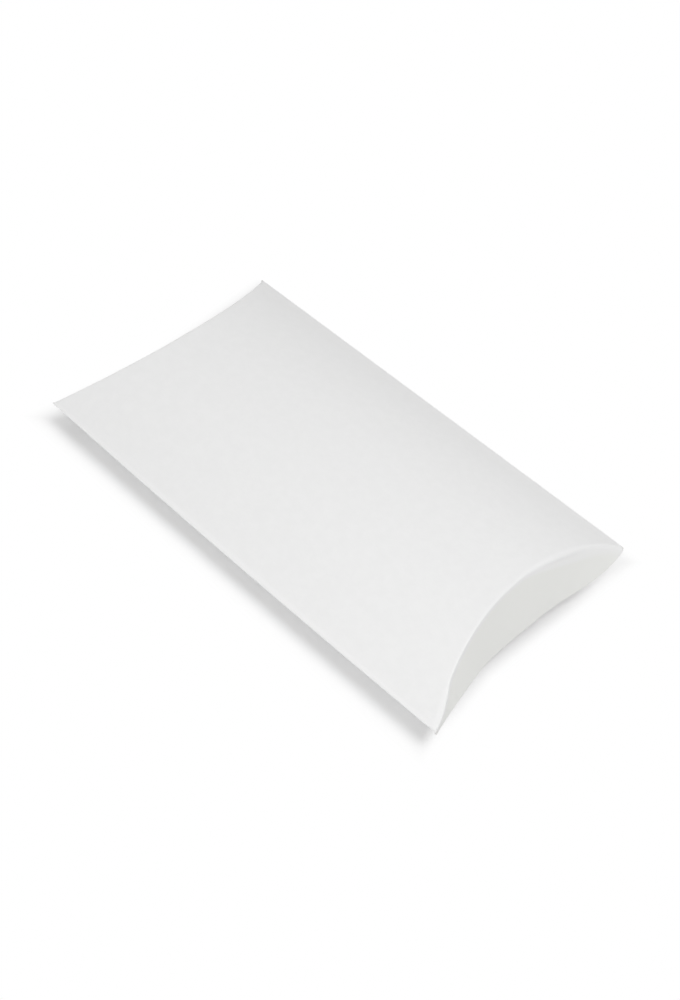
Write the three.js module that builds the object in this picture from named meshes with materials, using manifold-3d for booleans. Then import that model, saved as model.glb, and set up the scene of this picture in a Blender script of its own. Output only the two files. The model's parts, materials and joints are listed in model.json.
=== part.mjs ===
// A white card pillow box lying on its lower panel: two bowed panels joined along two
// straight side folds, closed at each end by a pair of tuck flaps on curved creases.
// Millimetres, +Z up. X runs along the side folds, Y across them, and the origin is the
// middle of the strip that the box rests on.
import * as THREE from "three";
import { mergeVertices } from "three/addons/utils/BufferGeometryUtils.js";
import Module from "manifold-3d";

// Driving dimensions
const boxLength = 127; // corner to corner along a side fold
const boxWidth = 75; // from side fold to side fold
const panelRise = 9.6; // crown of each panel above the plane of the side folds
const crownFlat = 4; // flat strip along the middle of each panel, which the box rests on
const creaseDepth = 9.6; // how far each end crease bows in from its two corners
const boardThickness = 0.45; // solid white board of about 350 g per square metre
const foldLeg = 1.6; // board on each leg of a side fold, from its tip
const outerFlapLean = 19; // degrees that a closed outer flap springs out at its free edge
const outerFlapLift = 3.9; // free edge of a closed outer flap above the table
const innerFlapShortfall = 6.7; // free edge of an inner flap below the crown above it
const cornerRelief = 0.6; // flaps stop this far short of the legs of the side folds
const glueFlapWidth = 12; // lap of the seam, inside the lower panel
const glueMargin = 2.5; // bare board on each side of the glue on that lap
const glueThickness = 0.15;

// Clearances
const scoreGap = 0.3; // between the pieces that meet along a scored line
const glueGap = 0.1; // between the glue and each of the two faces that it holds

// Half of the curve divisions of each arc
const arcSteps = 5;

const halfLength = boxLength / 2;
const halfWidth = boxWidth / 2;
const lean = THREE.MathUtils.degToRad(outerFlapLean);
const cutReach = boxLength + boxWidth; // cutting blocks reach past everything they cut

const card = { color: 0xf1f1ee, roughness: 0.72, metalness: 0 };
const cardInside = { color: 0xe9e8e3, roughness: 0.8, metalness: 0 };
const glue = { color: 0xe6e0cc, roughness: 0.45, metalness: 0 };

const wasm = await Module();
wasm.setup();

// Solids and meshes

function toSolid(geometry) {
  geometry.deleteAttribute("normal");
  geometry.deleteAttribute("uv");
  const merged = mergeVertices(geometry);
  const vertProperties = new Float32Array(merged.attributes.position.array);
  const triVerts = new Uint32Array(merged.index.array);
  return new wasm.Manifold(new wasm.Mesh({ numProp: 3, vertProperties, triVerts }));
}

function toGeometry(solid) {
  const { vertProperties, triVerts } = solid.getMesh();
  const geometry = new THREE.BufferGeometry();
  geometry.setAttribute("position", new THREE.BufferAttribute(vertProperties, 3));
  geometry.setIndex(new THREE.BufferAttribute(triVerts, 1));
  geometry.computeVertexNormals();
  return geometry;
}

function pieceOf(name, solid, finish) {
  const mesh = new THREE.Mesh(toGeometry(solid), new THREE.MeshStandardMaterial(finish));
  mesh.name = name;
  return mesh;
}

// A shape swept on both sides of its own plane, then turned so that its x, y and sweep
// directions become the three given ones.
function sweep(shape, halfDepth, across, up, along) {
  const settings = { depth: 2 * halfDepth, bevelEnabled: false, curveSegments: arcSteps };
  const geometry = new THREE.ExtrudeGeometry(shape, settings);
  geometry.translate(0, 0, -halfDepth);
  geometry.applyMatrix4(new THREE.Matrix4().makeBasis(across, up, along));
  return geometry;
}

function sweepAlongLength(shape) {
  return sweep(
    shape,
    cutReach,
    new THREE.Vector3(0, 1, 0),
    new THREE.Vector3(0, 0, 1),
    new THREE.Vector3(1, 0, 0),
  );
}

// The front end, seen from above: across is Y, up in the shape is inwards, and the sweep
// follows the straight lines of a flap that leans out by the angle given.
function sweepDownFrontEnd(shape, angle) {
  const geometry = sweep(
    shape,
    cutReach,
    new THREE.Vector3(0, 1, 0),
    new THREE.Vector3(-Math.cos(angle), 0, -Math.sin(angle)),
    new THREE.Vector3(-Math.sin(angle), 0, Math.cos(angle)),
  );
  return geometry.translate(halfLength, 0, 0);
}

// The arch that every panel and flap follows: a flat crown between two arcs that end on
// the side folds, with the crown a rise above them.

function archOf(rise) {
  const run = halfWidth - crownFlat / 2;
  const radius = (run * run + rise * rise) / (2 * rise);
  return { radius, centre: rise - radius, foldAngle: Math.asin(run / radius) };
}

function pointOnArch(arch, offset, angle) {
  const reach = arch.radius + offset;
  return new THREE.Vector2(
    crownFlat / 2 + reach * Math.sin(angle),
    arch.centre + reach * Math.cos(angle),
  );
}

// The arch from its left end to its right end, or back again.
function addArch(path, arch, offset, angle, leftToRight) {
  const reach = arch.radius + offset;
  const upright = Math.PI / 2;
  const side = leftToRight ? -1 : 1;
  const first = upright - side * angle;
  const last = upright + side * angle;
  path.absarc((side * crownFlat) / 2, arch.centre, reach, first, upright, leftToRight);
  path.lineTo((-side * crownFlat) / 2, arch.centre + reach);
  path.absarc((-side * crownFlat) / 2, arch.centre, reach, upright, last, leftToRight);
}

// Board that follows the arch between two offsets from it, with square ends.
function archBoard(rise, lowOffset, highOffset, angle) {
  const arch = archOf(rise);
  const start = pointOnArch(arch, highOffset, angle);
  const turn = pointOnArch(arch, lowOffset, angle);
  const shape = new THREE.Shape();
  shape.moveTo(-start.x, start.y);
  addArch(shape, arch, highOffset, angle, true);
  shape.lineTo(turn.x, turn.y);
  addArch(shape, arch, lowOffset, angle, false);
  shape.closePath();
  return shape;
}

// Everything under the arch.
function underArch(rise, offset) {
  const arch = archOf(rise);
  const start = pointOnArch(arch, offset, arch.foldAngle);
  const shape = new THREE.Shape();
  shape.moveTo(-start.x, start.y);
  addArch(shape, arch, offset, arch.foldAngle, true);
  shape.lineTo(cutReach, start.y);
  shape.lineTo(cutReach, -cutReach);
  shape.lineTo(-cutReach, -cutReach);
  shape.lineTo(-cutReach, start.y);
  shape.closePath();
  return shape;
}

// What lies left of a line through two points of the XZ plane, as wide as a flap.
function leftOfLine(from, to) {
  const along = to.clone().sub(from).setLength(cutReach);
  const left = new THREE.Vector2(-along.y, along.x);
  const corners = [
    from.clone().sub(along),
    from.clone().add(along),
    from.clone().add(along).add(left),
    from.clone().sub(along).add(left),
  ];
  return sweep(
    new THREE.Shape(corners),
    halfWidth - foldLeg - cornerRelief,
    new THREE.Vector3(1, 0, 0),
    new THREE.Vector3(0, 0, 1),
    new THREE.Vector3(0, -1, 0),
  );
}

// Ends

const panelArch = archOf(panelRise);

// What lies outside an end crease, moved in by a setback, at both ends.
function trimEnds(solid, setback) {
  const block = sweepDownFrontEnd(underArch(creaseDepth, setback), 0);
  const frontBlock = toSolid(block.clone());
  const rearBlock = toSolid(block.rotateZ(Math.PI));
  return solid.subtract(frontBlock).subtract(rearBlock);
}

// An upper flap at the front end, hanging from its curved crease with the lean given and
// set in from that crease by an inset. Its free edge lies in a plane through the two
// corners and ends a depth below the crown.
function endFlap(angle, inset, depth) {
  const crease = new THREE.Vector2(halfLength - creaseDepth, panelRise);
  const corner = new THREE.Vector2(halfLength, 0);
  const edge = new THREE.Vector2(Math.tan(angle), -1).multiplyScalar(depth).add(crease);
  const bow = creaseDepth * Math.cos(angle) - panelRise * Math.sin(angle);
  const wall = archBoard(bow, inset, inset + boardThickness, archOf(bow).foldAngle);
  return toSolid(sweepDownFrontEnd(wall, angle))
    .intersect(toSolid(sweepAlongLength(underArch(panelRise, 0))))
    .intersect(toSolid(leftOfLine(edge, corner)));
}

// Panels and side folds

function bowedPanel(setback) {
  const angle = panelArch.foldAngle - (foldLeg + scoreGap) / panelArch.radius;
  const board = archBoard(panelRise, -boardThickness, 0, angle);
  return trimEnds(toSolid(sweepAlongLength(board)), setback);
}

// A side fold is a V of board: two legs that carry the arches of both panels to the tip.
function sideFold() {
  const innerRadius = panelArch.radius - boardThickness;
  const legAngle = panelArch.foldAngle - foldLeg / panelArch.radius;
  const outerLeg = pointOnArch(panelArch, 0, legAngle);
  const outerTip = pointOnArch(panelArch, 0, panelArch.foldAngle);
  const innerLeg = pointOnArch(panelArch, -boardThickness, legAngle);
  const innerTip = pointOnArch(panelArch, -boardThickness, Math.acos(-panelArch.centre / innerRadius));
  const corners = [
    outerLeg,
    innerLeg,
    innerTip,
    new THREE.Vector2(innerLeg.x, -innerLeg.y),
    new THREE.Vector2(outerLeg.x, -outerLeg.y),
    outerTip,
  ];
  return trimEnds(toSolid(sweepAlongLength(new THREE.Shape(corners))), 0);
}

// The lap of the seam, on the inside of a panel: board or glue over a stretch of its arch.
function seamLayer(highOffset, thickness, margin) {
  const arcAngle = (length) => panelArch.foldAngle - length / panelArch.radius;
  const near = arcAngle(foldLeg + scoreGap + margin);
  const far = arcAngle(foldLeg + scoreGap + glueFlapWidth - margin);
  const shape = new THREE.Shape();
  const start = pointOnArch(panelArch, highOffset, far);
  const turn = pointOnArch(panelArch, highOffset - thickness, near);
  const upright = Math.PI / 2;
  const middle = crownFlat / 2;
  const high = panelArch.radius + highOffset;
  shape.moveTo(start.x, start.y);
  shape.absarc(middle, panelArch.centre, high, upright - far, upright - near, true);
  shape.lineTo(turn.x, turn.y);
  shape.absarc(middle, panelArch.centre, high - thickness, upright - near, upright - far, false);
  shape.closePath();
  return trimEnds(toSolid(sweepAlongLength(shape)), lowerSetback + glueMargin);
}

// The box

const outerFlapDepth = 2 * panelRise - outerFlapLift;
const innerFlapDepth = 2 * panelRise - innerFlapShortfall;
const innerFlapInset = boardThickness / Math.cos(lean) + scoreGap; // behind the outer flap
const lowerSetback = innerFlapInset + boardThickness + scoreGap;
const glueTop = -boardThickness - glueGap;
const glueFlapTop = glueTop - glueThickness - glueGap;

const upperHalf = new THREE.Group();
upperHalf.add(pieceOf("top_panel", bowedPanel(innerFlapInset), card));
const nearFold = pieceOf("side_fold", sideFold(), card);
nearFold.rotation.z = Math.PI;
upperHalf.add(nearFold);
upperHalf.add(pieceOf("seam_fold", sideFold(), card));
upperHalf.add(pieceOf("front_outer_flap", endFlap(lean, 0, outerFlapDepth), card));
const rearOuterFlap = pieceOf("rear_outer_flap", endFlap(lean, 0, outerFlapDepth), card);
rearOuterFlap.rotation.z = Math.PI;
upperHalf.add(rearOuterFlap);

// The lower half is the upper one turned over about X, and its seam is turned back to +Y.
const lowerHalf = new THREE.Group();
lowerHalf.rotation.x = Math.PI;
lowerHalf.add(pieceOf("bottom_panel", bowedPanel(lowerSetback), card));
lowerHalf.add(pieceOf("front_inner_flap", endFlap(0, innerFlapInset, innerFlapDepth), cardInside));
const rearInnerFlap = pieceOf("rear_inner_flap", endFlap(0, innerFlapInset, innerFlapDepth), cardInside);
rearInnerFlap.rotation.z = Math.PI;
lowerHalf.add(rearInnerFlap);
const seam = new THREE.Group();
seam.rotation.z = Math.PI;
seam.add(pieceOf("glue_flap", seamLayer(glueFlapTop, boardThickness, 0), cardInside));
seam.add(pieceOf("glue_strip", seamLayer(glueTop, glueThickness, glueMargin), glue));
lowerHalf.add(seam);

const pillowBox = new THREE.Group();
pillowBox.position.z = panelRise;
pillowBox.add(upperHalf, lowerHalf);

export default pillowBox;
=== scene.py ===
import json
import math

import bmesh
import bpy
from mathutils import Matrix, Vector


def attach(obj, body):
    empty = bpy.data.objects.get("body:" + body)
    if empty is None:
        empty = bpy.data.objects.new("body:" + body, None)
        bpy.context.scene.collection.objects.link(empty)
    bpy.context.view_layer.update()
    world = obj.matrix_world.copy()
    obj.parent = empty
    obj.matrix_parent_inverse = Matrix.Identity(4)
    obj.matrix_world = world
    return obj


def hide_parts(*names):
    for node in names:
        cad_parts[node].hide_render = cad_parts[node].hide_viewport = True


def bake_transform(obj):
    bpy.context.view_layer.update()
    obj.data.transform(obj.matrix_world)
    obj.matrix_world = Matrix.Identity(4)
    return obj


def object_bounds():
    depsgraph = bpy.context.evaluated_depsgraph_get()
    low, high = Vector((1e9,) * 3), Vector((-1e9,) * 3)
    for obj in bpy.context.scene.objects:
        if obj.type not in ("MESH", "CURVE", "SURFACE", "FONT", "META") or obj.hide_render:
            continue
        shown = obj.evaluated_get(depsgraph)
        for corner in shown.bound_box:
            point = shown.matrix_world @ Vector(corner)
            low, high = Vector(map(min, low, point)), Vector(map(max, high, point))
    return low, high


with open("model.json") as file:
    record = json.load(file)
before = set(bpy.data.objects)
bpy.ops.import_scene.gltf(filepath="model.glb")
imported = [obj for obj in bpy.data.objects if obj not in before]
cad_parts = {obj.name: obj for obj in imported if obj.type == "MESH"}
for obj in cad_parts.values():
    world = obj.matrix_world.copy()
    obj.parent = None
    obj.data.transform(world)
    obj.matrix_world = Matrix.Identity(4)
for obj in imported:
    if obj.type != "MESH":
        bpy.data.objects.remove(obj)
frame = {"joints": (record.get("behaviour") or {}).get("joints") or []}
cadLow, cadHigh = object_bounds()
print("frame loaded")

mm = 0.001

# What every piece shares: the box as the frame gives it, and its board
hinges = {joint["name"]: Vector(joint["pos_m"]) for joint in frame["joints"]}
apex = hinges["front_outer_hinge"]  # middle of the upper front crease
halfLength = (cadHigh.x - cadLow.x) / 2
halfWidth = (cadHigh.y - cadLow.y) / 2
foldHeight = (cadHigh.z + cadLow.z) / 2
panelRise = apex.z - foldHeight
creaseDepth = halfLength - apex.x
lowerInset = apex.x - hinges["front_inner_hinge"].x  # lower creases sit this far inside

board = {
    "thickness": 0.45 * mm,
    "crownFlat": 4 * mm,  # flat strip along the middle of each panel
    "arcSteps": 26,  # divisions of half an arch
    "foldRadius": 0.5 * mm,  # outside of a folded edge
    "foldSteps": 5,
    "hem": 1.2 * mm,  # strip of panel beside a crease that belongs to its flap
    "nose": 0.35 * mm,  # rounded tip of a side fold, which runs on to the corners
    "bow": 0.63 * mm,  # the plain side fold bows out along its middle
    "overrun": 1 * mm,  # a sheet starts this much too long at an end, and is then trimmed
}
tolerance = {
    "cut": 1e-8,  # a point this near a cut lies on it
    "merge": 1e-7,  # points that a sweep leaves in one place
    "weld": 2e-6,  # points that the cuts leave side by side
    "along": 1e-6,  # an edge this near a fold or a crease lies along it
}


def archOf(reach):  # radius, and slope where it meets the plane of the side folds
    run = reach - crown
    radius = (run * run + panelRise * panelRise) / (2 * panelRise)
    return radius, math.asin(run / radius)


# The arches run on to a sharp tip, and rounding it brings it back to the real width
crown = board["crownFlat"] / 2
tipReach = halfWidth + board["foldRadius"] * (1 / math.sin(archOf(halfWidth)[1]) - 1)
archRadius, foldAngle = archOf(tipReach)
arcDrop = archRadius - panelRise  # arc centres lie this far beyond the fold plane
noseReach = halfWidth - board["nose"]


def archHeight(y):  # of the upper arch, over the plane of the side folds
    away = max(abs(y) - crown, 0)
    return math.sqrt(archRadius ** 2 - away ** 2) - arcDrop


def onLowerArc(radius, angle):  # on the seam side, by its angle from straight down
    return crown + radius * math.sin(angle), arcDrop - radius * math.cos(angle)


# Outlines across the box, drawn clockwise as seen from the front end

def startAt(y, z):
    bm = bmesh.new()
    return bm, bm.verts.new((0, y, foldHeight + z))


def lineTo(bm, tip, y, z):
    made = bmesh.ops.extrude_vert_indiv(bm, verts=[tip])["verts"][0]
    bmesh.ops.translate(bm, verts=[made], vec=Vector((0, y, foldHeight + z)) - tip.co)
    return made


def arcOn(bm, tip, y, z, angle, steps):
    turned = bmesh.ops.spin(
        bm, geom=[tip], cent=(0, y, foldHeight + z), axis=(1, 0, 0), dvec=(0, 0, 0),
        angle=-angle, steps=steps, use_merge=False)
    return [v for v in turned["geom_last"] if isinstance(v, bmesh.types.BMVert)][0]


def upperArch(bm, tip):
    tip = arcOn(bm, tip, -crown, -arcDrop, foldAngle, board["arcSteps"])
    tip = lineTo(bm, tip, crown, panelRise)
    return arcOn(bm, tip, crown, -arcDrop, foldAngle, board["arcSteps"])


# Sheets pulled from those outlines, and their cuts

def sweepOn(bm, geom, step, steps):
    return bmesh.ops.spin(
        bm, geom=geom, cent=(0, 0, 0), axis=(1, 0, 0), dvec=step,
        angle=0, steps=steps, use_merge=False)["geom_last"]


def pullAlong(bm, reach, steps):  # as far behind the middle of the box as before it
    bmesh.ops.translate(bm, verts=bm.verts[:], vec=(-reach, 0, 0))
    sweepOn(bm, bm.verts[:] + bm.edges[:], (2 * reach / steps, 0, 0), steps)
    bmesh.ops.remove_doubles(bm, verts=bm.verts[:], dist=tolerance["merge"])


def roundEdges(bm, edges, offset, segments):
    bmesh.ops.bevel(
        bm, geom=edges, offset=offset, offset_type="OFFSET", segments=segments,
        profile=0.5, affect="EDGES", material=-1)


def cutAt(bm, point, normal):
    geom = bm.verts[:] + bm.edges[:] + bm.faces[:]
    bmesh.ops.bisect_plane(
        bm, geom=geom, dist=tolerance["cut"], plane_co=point, plane_no=normal)


def cutNoses(bm):
    for across in (1, -1):
        cutAt(bm, Vector((0, across * noseReach, 0)), Vector((0, across, 0)))


def dropFaces(bm, unwanted):
    faces = [f for f in bm.faces if unwanted(f.calc_center_median())]
    bmesh.ops.delete(bm, geom=faces, context="FACES")


# Creases lie in planes through the corners: side 1 is the upper one, -1 the lower one

def insideCrease(point, side):
    lift = side * (point.z - foldHeight) * creaseDepth / panelRise
    return halfLength - abs(point.x) - lift


def cutCrease(bm, side, setback, ends=(1, -1)):
    for end in ends:
        corner = Vector((end * (halfLength - setback), 0, foldHeight))
        cutAt(bm, corner, Vector((end * panelRise, 0, side * creaseDepth)))


def faceOutwards(bm):  # the highest face shows which way the sheet is turned
    bmesh.ops.remove_doubles(bm, verts=bm.verts[:], dist=tolerance["weld"])
    bmesh.ops.recalc_face_normals(bm, faces=bm.faces[:])
    highest = max(bm.faces, key=lambda face: face.calc_center_median().z)
    if highest.normal.z < 0:
        bmesh.ops.reverse_faces(bm, faces=bm.faces[:])


def bowOut(bm):
    for v in bm.verts:
        share = max(-v.co.y / halfWidth, 0)
        v.co.y -= board["bow"] * share * (1 - (v.co.x / halfLength) ** 2)


# The front end as it was folded: how far across it bulges, how widely, and how far out at its
# crease and at its free edge
frontBulges = {
    "seam_side": (17.5 * mm, 18 * mm, 1.1 * mm, 0.0),
    "seam_corner": (29 * mm, 18 * mm, 0.0, 1.25 * mm),
    "fold_side": (-33.5 * mm, 7 * mm, 1.15 * mm, 0.0),
    "fold_corner": (-27 * mm, 20 * mm, 0.0, 1.15 * mm),
}
bulgeLook = {
    "start": 30 * mm,  # along the box, the bulges grow from here
    "full": 50 * mm,  # and are whole from here on
    "edgeDrop": 1.45,  # the free edge lies this many times the arch's height below the arch
    "edgeEar": 1.3 * mm,  # and this much lower still
}


def clamped(value):
    return min(max(value, 0), 1)


def bulgeOut(bm):
    growth = bulgeLook["full"] - bulgeLook["start"]
    for v in bm.verts:
        along = clamped((v.co.x - bulgeLook["start"]) / growth)
        ease = along * along * (3 - 2 * along)
        rise = max(archHeight(min(abs(v.co.y), halfWidth)), 0)
        drop = rise - (v.co.z - foldHeight)
        down = clamped(drop / (rise * bulgeLook["edgeDrop"] + bulgeLook["edgeEar"]))
        for middle, width, atCrease, atEdge in frontBulges.values():
            near = min(abs(v.co.y - middle) / width, 1)
            out = atCrease + (atEdge - atCrease) * down
            v.co.x += out * ease * math.cos(near * math.pi / 2) ** 2


def finishPiece(name, bm, finishes, thickness=0):  # a sheet has a face, a back and a cut edge
    for face in bm.faces:
        face.smooth = True
    for edge in bm.edges:
        edge.smooth = not edge.is_boundary
    mesh = bpy.data.meshes.new(name)
    bm.to_mesh(mesh)
    bm.free()
    for finish in finishes:
        mesh.materials.append(finish)
    piece = bpy.data.objects.new(name, mesh)
    bpy.context.scene.collection.objects.link(piece)
    if thickness:
        wall = piece.modifiers.new("wall", "SOLIDIFY")
        wall.thickness = thickness
        wall.offset = -1
        wall.use_even_offset = True
        wall.use_quality_normals = True
        wall.material_offset = 1
        wall.material_offset_rim = 2
    return piece


# Node trees

class Wire:  # a socket that takes part in sums
    def __init__(self, nodes, socket):
        self.nodes = nodes
        self.socket = socket

    def combine(self, operation, first, second):
        sockets = {0: first, 1: second}
        return self.nodes.add("ShaderNodeMath", {"operation": operation}, sockets)

    def __add__(self, other):
        return self.combine("ADD", self, other)

    def __sub__(self, other):
        return self.combine("SUBTRACT", self, other)

    def __rsub__(self, other):
        return self.combine("SUBTRACT", other, self)

    def __mul__(self, other):
        return self.combine("MULTIPLY", self, other)

    def __abs__(self):
        return self.combine("ABSOLUTE", self, 0.0)

    __radd__ = __add__
    __rmul__ = __mul__

    def most(self, other):
        return self.combine("MAXIMUM", self, other)


class Nodes:
    def __init__(self, tree):
        self.tree = tree
        tree.nodes.clear()

    def add(self, kind, settings=None, sockets=None, output=0):
        node = self.tree.nodes.new(kind)
        for name, value in (settings or {}).items():
            setattr(node, name, value)
        for name, value in (sockets or {}).items():
            if isinstance(value, Wire):
                self.tree.links.new(value.socket, node.inputs[name])
            else:
                node.inputs[name].default_value = value
        return Wire(self, node.outputs[output]) if len(node.outputs) else None

    def place(self):
        return self.add("ShaderNodeTexCoord", None, None, "Object")

    def axes(self, place):
        along = self.add("ShaderNodeSeparateXYZ", None, {0: place})
        return [Wire(self, socket) for socket in along.socket.node.outputs]

    def seen(self):  # 1 for what the camera sees, also by way of gloss or glass
        rays = [self.add("ShaderNodeLightPath", None, None, ray)
                for ray in ("Is Camera Ray", "Is Glossy Ray", "Is Transmission Ray")]
        return rays[0].most(rays[1]).most(rays[2])

    def mixColour(self, amount, first, second):
        settings = {"data_type": "RGBA"}
        return self.add("ShaderNodeMix", settings, {0: amount, 6: first, 7: second}, 2)

    def ramp(self, value, low, high, toLow=0.0, toHigh=1.0):
        settings = {"interpolation_type": "SMOOTHSTEP", "clamp": True}
        sockets = {"Value": value, "From Min": low, "From Max": high,
                   "To Min": toLow, "To Max": toHigh}
        return self.add("ShaderNodeMapRange", settings, sockets)

    def noise(self, place, scale, detail, roughness):
        sockets = {"Vector": place, "Scale": scale, "Detail": detail, "Roughness": roughness}
        return self.add("ShaderNodeTexNoise", {"noise_dimensions": "3D"}, sockets)

    def grain(self, place, scales, turn, detail, roughness):  # noise that is drawn out
        sockets = {"Vector": place, "Rotation": (0, 0, turn), "Scale": scales}
        drawn = self.add("ShaderNodeMapping", {"vector_type": "POINT"}, sockets)
        return self.noise(drawn, 1.0, detail, roughness)

    def bump(self, height, strength, distance, normal=None):
        sockets = {"Height": height, "Strength": strength, "Distance": distance}
        if normal:
            sockets["Normal"] = normal
        return self.add("ShaderNodeBump", None, sockets)


def newFinish(name):
    material = bpy.data.materials.new(name)
    material.use_nodes = True
    return material, Nodes(material.node_tree)


def surface(nodes, look, base, rough, normal):
    shader = nodes.add("ShaderNodeBsdfPrincipled", None, {
        "Base Color": base, "Roughness": rough, "Normal": normal,
        "Specular IOR Level": look["gloss"]})
    nodes.add("ShaderNodeOutputMaterial", None, {"Surface": shader})


# Card: smooth white board, with a polished skin and a painted highlight where it is folded,
# painted shade on the faces of the outer flaps, and bare fibre where it is cut.
# An even noise has a scale, a detail and a roughness. A drawn out one has a scale for each axis,
# a turn, a detail and a roughness. A bump has a strength and a height
noiseMiddle = 0.5
skinLook = {
    "light": (0.873, 0.873, 0.871, 1),
    "dark": (0.855, 0.855, 0.853, 1),
    "pressedAndHighlight": (0.888, 0.888, 0.886, 1),  # painted highlight along folds and creases
    "paintedFlapShade": (0.862, 0.866, 0.834, 1),  # painted shade with a warm painted reflection, on an outer flap below its crease
    "foldWidth": (0.1 * mm, 0.8 * mm),  # pressed and given the painted highlight as far as the first, and not past the second
    "creaseWidth": (0.1 * mm, 0.6 * mm),
    # the painted shade of a flap face grows between these depths below the arch
    "flapShadeStart": (0.2 * mm, 1.4 * mm),
    # how much of the painted highlight, and of the painted shade, is mixed in
    "highlightShare": 0.8,
    "flapShadeShare": 0.7,
    "cloud": (420.0, 3.0, 0.6),
    "fibre": ((900, 3600, 3600), 0.4, 3.0, 0.6),
    "tooth": (5200.0, 3.0, 0.6),
    "crackle": ((5000, 900, 2600), 0.0, 2.0, 0.6),  # of the skin where it is pressed
    "fibreShare": 0.4,  # beside the cloud in the tone, and beside the tooth in the relief
    "tone": (0.35, 0.68),  # noise that is all dark, and all light
    "rough": 0.70,
    "roughSpread": 0.10,
    "pressedPolish": 0.16,
    "bump": (0.40, 0.05 * mm),
    "crackleBump": (0.30, 0.06 * mm),
    "gloss": 0.35,
}
backLook = {
    "light": (0.82, 0.815, 0.79, 1),
    "dark": (0.78, 0.772, 0.742, 1),
    "cloud": (220.0, 4.0, 0.6),
    "fibre": ((700, 3000, 3000), -0.3, 4.0, 0.65),
    "tooth": (4200.0, 3.0, 0.65),
    "fibreShare": 0.5,
    "tone": (0.33, 0.68),
    "rough": 0.84,
    "roughSpread": 0.10,
    "bump": (0.30, 0.05 * mm),
    "gloss": 0.25,
}
cutEdgeLook = {
    "light": (0.85, 0.848, 0.83, 1),
    "dark": (0.77, 0.765, 0.74, 1),
    "plies": ((2200, 2200, 7000), 0.0, 3.0, 0.6),
    "tufts": (9000.0, 2.0, 0.6),
    "tuftShare": 0.5,
    "tone": (0.36, 0.66),
    "rough": 0.9,
    "roughSpread": 0.1,
    "bump": (0.2, 0.06 * mm),
    "gloss": 0.2,
}
creaseSlant = panelRise / math.hypot(panelRise, creaseDepth)  # a run along x, square to a crease


def blended(first, second, share):
    return first * (1 - share) + second * share


def paper(nodes, place, look):  # colour, roughness and relief of either side of the board
    cloud = nodes.noise(place, *look["cloud"])
    fibre = nodes.grain(place, *look["fibre"])
    tooth = nodes.noise(place, *look["tooth"])
    tone = nodes.ramp(blended(cloud, fibre, look["fibreShare"]), *look["tone"])
    base = nodes.mixColour(tone, look["dark"], look["light"])
    rough = look["rough"] + (fibre - noiseMiddle) * look["roughSpread"]
    normal = nodes.bump(blended(tooth, fibre, look["fibreShare"]), *look["bump"])
    return base, rough, normal


def cardSkin(name, look, side):  # side 1 has the upper creases, -1 the lower ones, 0 both
    material, nodes = newFinish(name)
    place = nodes.place()
    x, y, z = nodes.axes(place)
    lift = z - foldHeight
    lift = abs(lift) if side == 0 else lift * side
    toFold = halfWidth - abs(y)
    toCrease = abs(halfLength - abs(x) - lift * (creaseDepth / panelRise)) * creaseSlant
    fold = nodes.ramp(toFold, *look["foldWidth"], 1.0, 0.0)
    crease = nodes.ramp(toCrease, *look["creaseWidth"], 1.0, 0.0)
    pressedAndHighlight = fold.most(crease)
    base, rough, normal = paper(nodes, place, look)
    # The face of an outer flap gets painted shade, tinted warm by a painted reflection
    if side > 0:
        share = y * (1 / halfWidth)
        below = panelRise - share * share * panelRise - lift
        face = nodes.ramp(below, *look["flapShadeStart"])
        base = nodes.mixColour(face * look["flapShadeShare"], base, look["paintedFlapShade"])
    # Painted highlight along folds and creases, where the skin is also polished and cracked
    base = nodes.mixColour(pressedAndHighlight * look["highlightShare"], base, look["pressedAndHighlight"])
    rough = rough - pressedAndHighlight * look["pressedPolish"]
    crackle = nodes.grain(place, *look["crackle"])
    normal = nodes.bump(crackle * pressedAndHighlight, *look["crackleBump"], normal)
    surface(nodes, look, base, rough, normal)
    return material


def cardBack(name, look):
    material, nodes = newFinish(name)
    base, rough, normal = paper(nodes, nodes.place(), look)
    surface(nodes, look, base, rough, normal)
    return material


def cardCutEdge(name, look):
    material, nodes = newFinish(name)
    place = nodes.place()
    plies = nodes.grain(place, *look["plies"])
    tufts = nodes.noise(place, *look["tufts"])
    base = nodes.mixColour(nodes.ramp(plies, *look["tone"]), look["dark"], look["light"])
    rough = look["rough"] + (tufts - noiseMiddle) * look["roughSpread"]
    normal = nodes.bump(blended(plies, tufts, look["tuftShare"]), *look["bump"])
    surface(nodes, look, base, rough, normal)
    return material


backAndEdge = [cardBack("card_inside", backLook), cardCutEdge("card_cut_edge", cutEdgeLook)]
sleeveFinishes = [cardSkin("card_sleeve", skinLook, 0)] + backAndEdge
outerFinishes = [cardSkin("card_outer_flap", skinLook, 1)] + backAndEdge
innerFinishes = [cardSkin("card_inner_flap", skinLook, -1)] + backAndEdge
print("card finishes made")


# Sleeve: one sheet from the cut edge of the lower panel, round both folds, to the glued lap
sleeveLook = {
    "lengthSteps": 24,
    "edgeGap": 2.35 * mm,  # cut edge of the lower panel, from the sharp tip of the seam fold
    "leg": 1.3 * mm,  # board beyond that fold before the lap steps inside
    "stepWidth": 0.9 * mm,
    "stepIn": 0.8 * mm,
    "lapWidth": 12 * mm,
    "lapSteps": 10,
    "lapTrim": 2.5 * mm,  # the lap's ends stop short of the lower creases
}


def lapStart(look):  # where the lap's own arc begins
    return foldAngle - (look["leg"] + look["stepWidth"]) / archRadius


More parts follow.
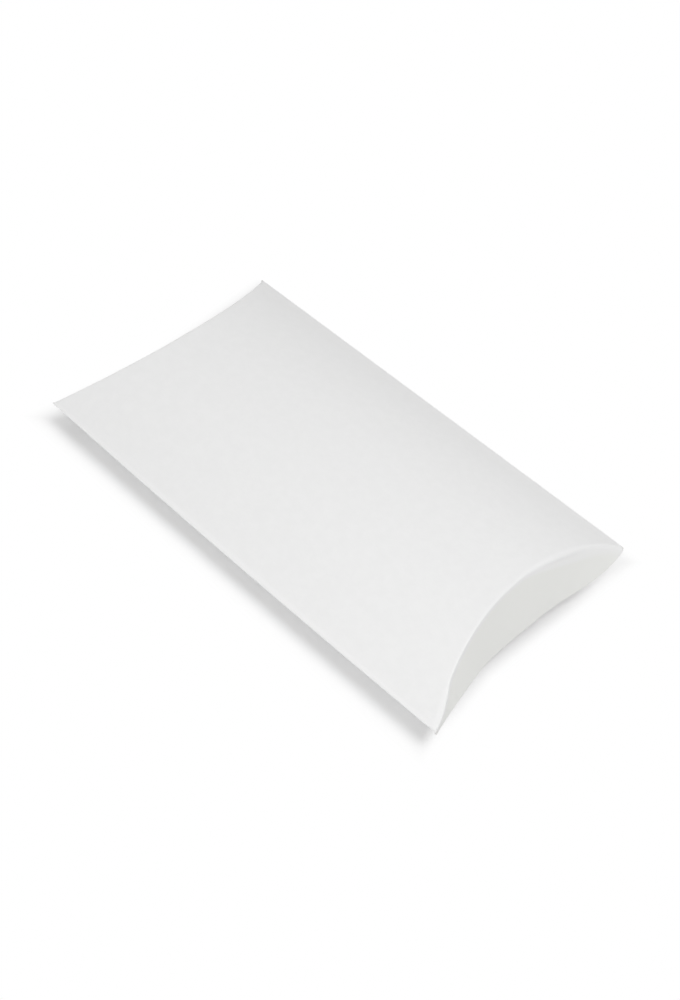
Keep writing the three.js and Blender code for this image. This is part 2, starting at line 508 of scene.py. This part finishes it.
def makeSleeve(look):
    first = foldAngle - look["edgeGap"] / archRadius
    bm, tip = startAt(*onLowerArc(archRadius, first))
    tip = arcOn(bm, tip, crown, arcDrop, first, board["arcSteps"])
    tip = lineTo(bm, tip, -crown, -panelRise)
    tip = arcOn(bm, tip, -crown, arcDrop, foldAngle, board["arcSteps"])
    tip = upperArch(bm, tip)
    tip = arcOn(bm, tip, crown, arcDrop, look["leg"] / archRadius, 1)
    lapRadius = archRadius - look["stepIn"]
    tip = lineTo(bm, tip, *onLowerArc(lapRadius, lapStart(look)))
    arcOn(bm, tip, crown, arcDrop, look["lapWidth"] / lapRadius, look["lapSteps"])
    pullAlong(bm, halfLength + board["overrun"], look["lengthSteps"])

    def onFold(edge):
        return all(abs(abs(v.co.y) - tipReach) < tolerance["along"] for v in edge.verts)

    folds = [e for e in bm.edges if onFold(e)]
    roundEdges(bm, folds, board["foldRadius"] / math.tan(foldAngle), board["foldSteps"])

    cutNoses(bm)
    for side, inset in ((1, 0), (-1, lowerInset)):
        cutCrease(bm, side, 0)
        cutCrease(bm, side, inset + board["hem"])
    cutCrease(bm, -1, lowerInset + board["hem"] + look["lapTrim"])

    def isLap(point):
        away = Vector((point.y - crown, point.z - foldHeight - arcDrop)).length
        low = point.y > crown and point.z < foldHeight
        return low and away < archRadius - look["stepIn"] / 2

    def beyond(point):
        side = 1 if point.z > foldHeight else -1
        room = 0
        if abs(point.y) < noseReach:
            room = board["hem"] + (0 if side > 0 else lowerInset)
        if isLap(point):
            room = board["hem"] + lowerInset + look["lapTrim"]
        return insideCrease(point, side) < room

    dropFaces(bm, beyond)
    faceOutwards(bm)
    bulgeOut(bm)
    bowOut(bm)
    return finishPiece("sleeve_board", bm, sleeveFinishes, board["thickness"])


sleeve = makeSleeve(sleeveLook)
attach(sleeve, "sleeve")
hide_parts("top_panel", "bottom_panel", "side_fold", "seam_fold", "glue_flap")
print("sleeve made")


# Tuck flaps, each modelled at the top of the front end and then turned into place
flapLook = {
    "fineRows": 5,  # next to the crease, where a flap bends most
    "fineRow": 0.5 * mm,
    "rows": 14,
    "row": 1.4 * mm,
    "creaseOffset": 0.4 * mm,  # the crease is rounded this far to each side
    "creaseSteps": 4,
    "bendStart": 0.86 * mm,  # from the crease plane, where the bend of an opened flap would start so that the hem stays with the panel
}
outerFlap = {
    "lean": math.radians(21),  # springs out at its free edge
    "twist": math.radians(8.3),  # and further out at the seam side than at the other
    "depth": 15.0 * mm,  # below the crown
    "ear": 0.8 * mm,  # short cut side at a corner, as a mean of the two
    "earRise": 1.0 * mm,  # the free edge is this much higher at the seam side
    "inset": 0.0,
    "bendEnd": 7 * mm,  # how far from its crease plane an opened flap would be bent; nothing here bends it
}
rearFlap = dict(outerFlap, twist=0.0, ear=0.5 * mm, earRise=0.0)  # lies as it was folded
innerFlap = dict(
    rearFlap, lean=0.0, depth=12.5 * mm, ear=0.0, inset=lowerInset, bendEnd=6 * mm)


def springOut(bm, look):
    for v in bm.verts:
        drop = archHeight(v.co.y) - (v.co.z - foldHeight)  # none on the hem
        further = look["lean"] + look["twist"] * v.co.y / halfWidth
        v.co.x += drop * (math.tan(further) - math.tan(look["lean"]))


def makeFlap(name, look, finishes, turns):
    bm, tip = startAt(-tipReach, 0)
    upperArch(bm, tip)
    start = halfLength - creaseDepth - look["inset"] - 2 * board["hem"]
    bmesh.ops.translate(bm, verts=bm.verts[:], vec=(start, 0, 0))
    sweepOn(bm, bm.verts[:] + bm.edges[:], (halfLength + board["overrun"] - start, 0, 0), 1)
    cutCrease(bm, 1, look["inset"], (1,))
    cutCrease(bm, 1, look["inset"] + board["hem"], (1,))
    cutNoses(bm)

    def offHem(point):
        inside = insideCrease(point, 1) - look["inset"]
        return inside < 0 or inside > board["hem"] or abs(point.y) > noseReach

    def onCrease(edge):
        gaps = [abs(insideCrease(v.co, 1) - look["inset"]) for v in edge.verts]
        return max(gaps) < tolerance["along"]

    dropFaces(bm, offHem)
    crease = [e for e in bm.edges if onCrease(e)]
    down = Vector((math.sin(look["lean"]), 0, -math.cos(look["lean"])))
    geom = crease + list({v for e in crease for v in e.verts})
    geom = sweepOn(bm, geom, down * flapLook["fineRow"], flapLook["fineRows"])
    sweepOn(bm, geom, down * flapLook["row"], flapLook["rows"])

    # the free edge lies in a plane that passes below the two corners by their ears
    corner = Vector((halfLength, 0, foldHeight - look["ear"]))
    edge = apex + down * (look["depth"] / math.cos(look["lean"])) - corner
    below = edge.cross(Vector((0, 2 * halfWidth, look["earRise"])))
    if below.dot(apex - corner) > 0:
        below = -below
    cutAt(bm, corner, below)
    dropFaces(bm, lambda point: below.dot(point - corner) > 0)
    springOut(bm, look)

    crease = [e for e in bm.edges if onCrease(e) and len(e.link_faces) == 2]
    roundEdges(bm, crease, flapLook["creaseOffset"], flapLook["creaseSteps"])
    faceOutwards(bm)
    for axis, centre in turns:
        bmesh.ops.rotate(
            bm, verts=bm.verts[:], cent=centre, matrix=Matrix.Rotation(math.pi, 3, axis))
    bulgeOut(bm)
    bowOut(bm)
    return finishPiece(name, bm, finishes, board["thickness"])


turnOver = ("X", Vector((0, 0, foldHeight)))
turnRound = ("Z", Vector((0, 0, 0)))
flaps = {  # end and side of the box, dimensions, finishes, and turns into place
    "front_outer": (1, 1, outerFlap, outerFinishes, []),
    "front_inner": (1, -1, innerFlap, innerFinishes, [turnOver]),
    "rear_outer": (-1, 1, rearFlap, outerFinishes, [turnRound]),
    "rear_inner": (-1, -1, innerFlap, innerFinishes, [turnOver, turnRound]),
}

for body, (end, side, look, finishes, turns) in flaps.items():
    flap = makeFlap(f"{body}_board", look, finishes, turns)
    hinge = hinges[f"{body}_hinge"]
    inwards = -Vector((end * panelRise, 0, side * creaseDepth)).normalized()
    hinge + inwards * look["bendEnd"]
    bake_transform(flap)
    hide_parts(f"{body}_flap")
print("tuck flaps made")


# Glue: a dried line between the lap and the lower panel
glueLook = {
    "gap": 0.02 * mm,  # clear of the board on either side
    "margin": 2.5 * mm,  # from the long edges of the lap
    "steps": 12,
    "lengthSteps": 60,
    "wander": 0.35 * mm,  # its edges wander where it was pressed out
    "wanderTurns": 900,  # radians for each metre of its length
    "drift": 9,  # radians that those turns run ahead or behind
    "driftTurns": 210,
    "thick": (0.78, 0.74, 0.62, 1),
    "thin": (0.84, 0.82, 0.74, 1),
    "smear": ((250, 900, 900), 0.0, 3.0, 0.55),
    "tone": (0.35, 0.65),
    "rough": 0.38,
    "roughSpread": 0.2,
    "bump": (0.25, 0.1 * mm),
    "gloss": 0.5,
}


def glueFinish(name, look):
    material, nodes = newFinish(name)
    smear = nodes.grain(nodes.place(), *look["smear"])
    base = nodes.mixColour(nodes.ramp(smear, *look["tone"]), look["thick"], look["thin"])
    rough = look["rough"] + smear * look["roughSpread"]
    surface(nodes, look, base, rough, nodes.bump(smear, *look["bump"]))
    return material


def makeGlue(look):
    outer = archRadius - board["thickness"] - look["gap"]
    inner = archRadius - sleeveLook["stepIn"] + look["gap"]
    first = lapStart(sleeveLook) - look["margin"] / archRadius
    span = (sleeveLook["lapWidth"] - 2 * look["margin"]) / archRadius
    bm, tip = startAt(*onLowerArc(outer, first))
    arcOn(bm, tip, crown, arcDrop, span, look["steps"])
    pullAlong(bm, halfLength - creaseDepth, look["lengthSteps"])
    for v in bm.verts:
        if v.is_boundary:
            drift = look["drift"] * math.sin(v.co.x * look["driftTurns"])
            v.co.y += look["wander"] * math.sin(v.co.x * look["wanderTurns"] + drift)
    bmesh.ops.recalc_face_normals(bm, faces=bm.faces[:])
    bmesh.ops.solidify(bm, geom=bm.faces[:], thickness=outer - inner)
    bmesh.ops.recalc_face_normals(bm, faces=bm.faces[:])
    return finishPiece("glue_line", bm, [glueFinish("glue_dried", look)])


glue = makeGlue(glueLook)
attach(glue, "sleeve")
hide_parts("glue_strip")
print("glue made")


# Floor, light and camera
stageLook = {
    "floorSize": 4.0,
    "floorCells": 8,
    "floorColour": (0.833, 0.833, 0.833, 1),
    "floorGrain": (900.0, 2.0, 0.5),
    "floorBump": (0.05, 0.02 * mm),
    "floorLift": 0.149,  # added for what the camera sees, so that the open floor is white
    # The shadow fades to white past these places, over the length given. At an end of the box
    # that starts nearest at the middle given, and further out to each side by the slant
    "shadowFront": {"start": 58.0 * mm, "middle": -11 * mm, "slant": 0.092, "fade": 4.6 * mm},
    "shadowBack": {"start": -62.9 * mm, "middle": 0.0, "slant": 0.085, "fade": 6.2 * mm},
    "shadowSides": {"foldSide": -35 * mm, "seamSide": 40.5 * mm, "fade": 6.2 * mm},
    "sky": (1, 1, 1, 1),
    "skyLight": 0.284,
    "lampDistance": 0.7,
}
softboxes = {  # azimuth and elevation in degrees, width, and light of a white face turned to it
    "key": (342, 70, 0.30, 0.362),
    "front_fill": (315, 35, 0.50, 0.205),
    "left_fill": (250, 30, 0.50, 0.194),
    "right_fill": (95, 35, 0.50, 0.228),
}


def makeFloor(look):
    bm = bmesh.new()
    bmesh.ops.create_grid(
        bm, x_segments=look["floorCells"], y_segments=look["floorCells"],
        size=look["floorSize"] / 2)
    material, nodes = newFinish("floor_paper")
    place = nodes.place()
    x, y = nodes.axes(place)[:2]
    front, back, sides = look["shadowFront"], look["shadowBack"], look["shadowSides"]
    ahead = x - front["start"] - abs(y - front["middle"]) * front["slant"]
    behind = back["start"] - x - abs(y - back["middle"]) * back["slant"]
    across = (sides["foldSide"] - y).most(y - sides["seamSide"])
    past = (ahead * (1 / front["fade"])).most(behind * (1 / back["fade"]))
    past = past.most(across * (1 / sides["fade"]))
    seen = nodes.seen()
    grain = nodes.noise(place, *look["floorGrain"])
    matt = nodes.add("ShaderNodeBsdfDiffuse", None, {
        "Color": look["floorColour"], "Normal": nodes.bump(grain, *look["floorBump"])})
    lift = nodes.add("ShaderNodeEmission", None, {"Strength": seen * look["floorLift"]})
    lit = nodes.add("ShaderNodeAddShader", None, {0: matt, 1: lift})
    white = nodes.add("ShaderNodeEmission", None, {"Strength": 1.0})
    fade = nodes.ramp(past, 0.0, 1.0) * seen
    mixed = nodes.add("ShaderNodeMixShader", None, {0: fade, 1: lit, 2: white})
    nodes.add("ShaderNodeOutputMaterial", None, {"Surface": mixed})
    return finishPiece("floor", bm, [material])


makeFloor(stageLook)


def makeLight(look):
    world = bpy.data.worlds.new("studio")
    bpy.context.scene.world = world
    world.use_nodes = True
    nodes = Nodes(world.node_tree)
    strength = look["skyLight"] + nodes.seen() * (1 - look["skyLight"])
    sky = nodes.add("ShaderNodeBackground", None, {"Strength": strength, "Color": look["sky"]})
    nodes.add("ShaderNodeOutputWorld", None, {"Surface": sky})

    for name, (azimuth, elevation, width, light) in softboxes.items():
        turn, rise = math.radians(azimuth), math.radians(elevation)
        away = Vector((
            math.cos(turn) * math.cos(rise), math.sin(turn) * math.cos(rise), math.sin(rise)))
        lamp = bpy.data.lights.new(name, "AREA")
        lamp.shape = "DISK"
        lamp.size = width
        lamp.energy = light * (math.pi * look["lampDistance"]) ** 2
        holder = bpy.data.objects.new(name, lamp)
        holder.location = away * look["lampDistance"]
        holder.rotation_mode = "QUATERNION"
        holder.rotation_quaternion = (-away).to_track_quat("-Z", "Y")
        bpy.context.scene.collection.objects.link(holder)


makeLight(stageLook)

cameraLook = {
    "azimuth": math.radians(32.620),  # from straight across the plain side fold
    "elevation": math.radians(49.728),
    "roll": math.radians(12.746),
    "focalPixels": 1235.5,
    "longSidePixels": 1000,
    "sensorWidth": 36,
    "clipStart": 10 * mm,
    "place": (112.07 * mm, -170.99 * mm, 232.19 * mm),  # from the middle of the fold plane
}


def makeCamera(look):
    turn, rise, roll = look["azimuth"], look["elevation"], look["roll"]
    back = Vector((
        math.sin(turn) * math.cos(rise), -math.cos(turn) * math.cos(rise), math.sin(rise)))
    right = Vector((math.cos(turn), math.sin(turn), 0))
    up = back.cross(right)
    axes = Matrix((
        right * math.cos(roll) + up * math.sin(roll),
        up * math.cos(roll) - right * math.sin(roll),
        back)).transposed()
    lens = bpy.data.cameras.new("camera")
    lens.sensor_width = look["sensorWidth"]
    lens.lens = look["sensorWidth"] * look["focalPixels"] / look["longSidePixels"]
    lens.clip_start = look["clipStart"]
    holder = bpy.data.objects.new("camera", lens)
    holder.matrix_world = Matrix.Translation(
        Vector(look["place"]) + Vector((0, 0, foldHeight))) @ axes.to_4x4()
    bpy.context.scene.collection.objects.link(holder)
    bpy.context.scene.camera = holder


makeCamera(cameraLook)
bpy.context.scene.view_settings.view_transform = "Standard"
print("floor, light and camera made")
